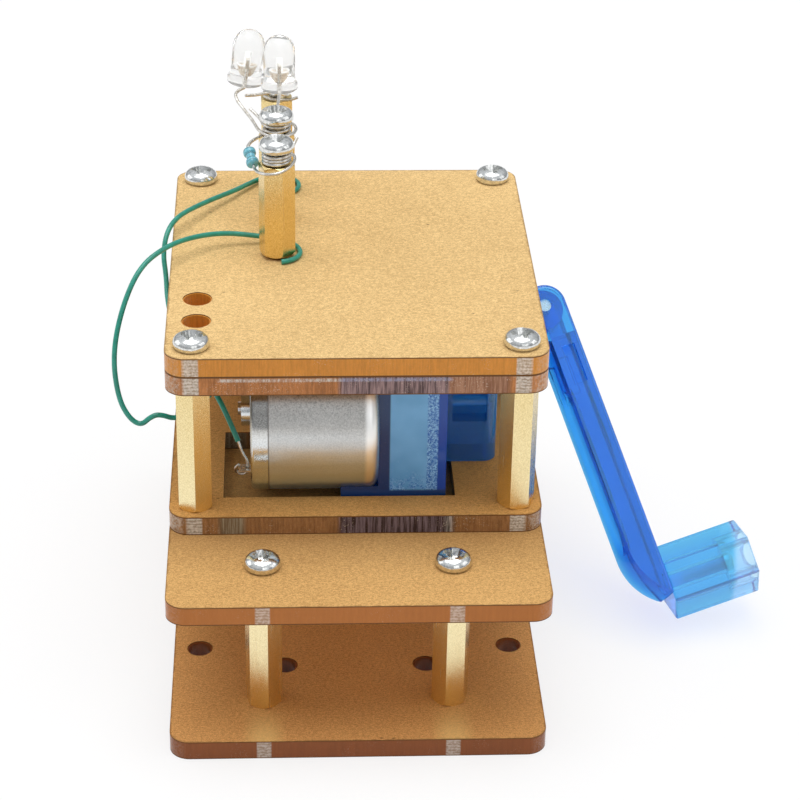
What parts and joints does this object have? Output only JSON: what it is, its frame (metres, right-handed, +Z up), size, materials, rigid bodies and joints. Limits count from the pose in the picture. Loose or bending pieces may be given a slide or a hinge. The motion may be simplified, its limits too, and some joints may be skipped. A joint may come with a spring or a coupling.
{
  "type": "hand crank generator",
  "caption": "Hand crank generator: geared motor with a folding crank, held in a stack of film-covered acrylic plates on brass spacers, with terminal posts and lights on top.",
  "frame": {"origin": "centre of the base plate's underside, on the surface that the generator stands on", "axes": "+Z up, +X to the right along the crank's shaft, +Y to the back"},
  "size_m": [0.1013, 0.085, 0.0848],
  "materials": {
    "acrylic": "clear acrylic, brown where seen through its cut edge",
    "kraft_paper": "matte brown protective paper film",
    "brass": "bright turned brass",
    "plated_steel": "bright nickel plating",
    "motor_steel": "mottled zinc plating",
    "bronze": "sintered bronze",
    "magnet": "dark ferrite",
    "tinned_metal": "dull tin plating",
    "rotor_steel": "laminated steel",
    "copper": "enamelled copper",
    "shaft_steel": "ground steel",
    "gear_plastic": "white nylon",
    "clear_blue": "clear blue moulded plastic",
    "clear_epoxy": "clear epoxy",
    "resistor_blue": "light blue lacquer",
    "green_insulation": "green insulation"
  },
  "bodies": {
    "frame": {"base_plate": "acrylic", "base_film": "kraft_paper", "shelf_plate": "acrylic", "shelf_film": "kraft_paper", "lower_frame_plate": "acrylic", "lower_frame_film": "kraft_paper", "upper_frame_plate": "acrylic", "upper_frame_film": "kraft_paper", "top_plate": "acrylic", "top_film": "kraft_paper", "lower_front_left_spacer": "brass", "lower_front_right_spacer": "brass", "lower_rear_left_spacer": "brass", "lower_rear_right_spacer": "brass", "upper_front_left_spacer": "brass", "upper_front_right_spacer": "brass", "upper_rear_left_spacer": "brass", "upper_rear_right_spacer": "brass", "top_screws": "plated_steel", "shelf_screws": "plated_steel", "frame_screws": "plated_steel", "base_screws": "plated_steel", "rear_studs": "plated_steel", "post_lower_screws": "plated_steel", "terminal_post_front": "brass", "post_screw_front": "plated_steel", "terminal_post_middle": "brass", "post_screw_middle": "plated_steel", "terminal_post_rear": "brass", "post_screw_rear": "plated_steel", "motor_can": "motor_steel", "motor_cap": "motor_steel", "motor_bushings": "bronze", "motor_magnets": "magnet", "motor_terminals": "tinned_metal", "gear_axles": "shaft_steel", "gear_case_shell": "clear_blue", "gear_case_cover": "clear_blue", "led_right_lens": "clear_epoxy", "led_left_lens": "clear_epoxy", "led_right_leads": "tinned_metal", "led_left_leads": "tinned_metal", "resistor_leads": "tinned_metal", "resistor_body": "resistor_blue", "wire_front": "green_insulation", "wire_rear": "green_insulation"},
    "crank": {"crank_shaft": "clear_blue", "crank_gear": "gear_plastic"},
    "arm": {"crank_arm": "clear_blue", "fold_pin": "shaft_steel", "knob_screw": "plated_steel"},
    "knob": {"knob": "clear_blue"},
    "idler_1": {"idler_gear_1": "gear_plastic"},
    "idler_2": {"idler_gear_2": "gear_plastic"},
    "rotor": {"rotor_core": "rotor_steel", "rotor_windings": "copper", "commutator": "copper", "motor_shaft": "shaft_steel", "motor_pinion": "brass"}
  },
  "joints": [
    {"name": "crank_spin", "type": "hinge", "parent": "frame", "child": "crank", "pos_m": [0.024, 0.02109, 0.0399], "axis": [1, 0, 0], "continuous": true},
    {"name": "idler_2_spin", "type": "hinge", "parent": "frame", "child": "idler_2", "pos_m": [0.008, 0.0098, 0.0425], "axis": [1, 0, 0], "continuous": true},
    {"name": "idler_1_spin", "type": "hinge", "parent": "frame", "child": "idler_1", "pos_m": [0.008, 0.00176, 0.0373], "axis": [1, 0, 0], "continuous": true},
    {"name": "rotor_spin", "type": "hinge", "parent": "frame", "child": "rotor", "pos_m": [-0.006, -0.0085, 0.0399], "axis": [1, 0, 0], "continuous": true},
    {"name": "arm_fold", "type": "hinge", "parent": "crank", "child": "arm", "pos_m": [0.031, 0.02109, 0.0399], "axis": [0, -0.757, 0.6534], "range_deg": [-18.5, 136.5]},
    {"name": "knob_spin", "type": "hinge", "parent": "arm", "child": "knob", "pos_m": [0.04931, -0.00757, 0.0067], "axis": [0.9483, 0.2073, 0.2402], "continuous": true}
  ],
  "couplings": [
    {"joint": "idler_2_spin", "follows": "crank_spin", "ratio": -3.6},
    {"joint": "idler_1_spin", "follows": "crank_spin", "ratio": 10.08},
    {"joint": "rotor_spin", "follows": "crank_spin", "ratio": -32.256}
  ]
}
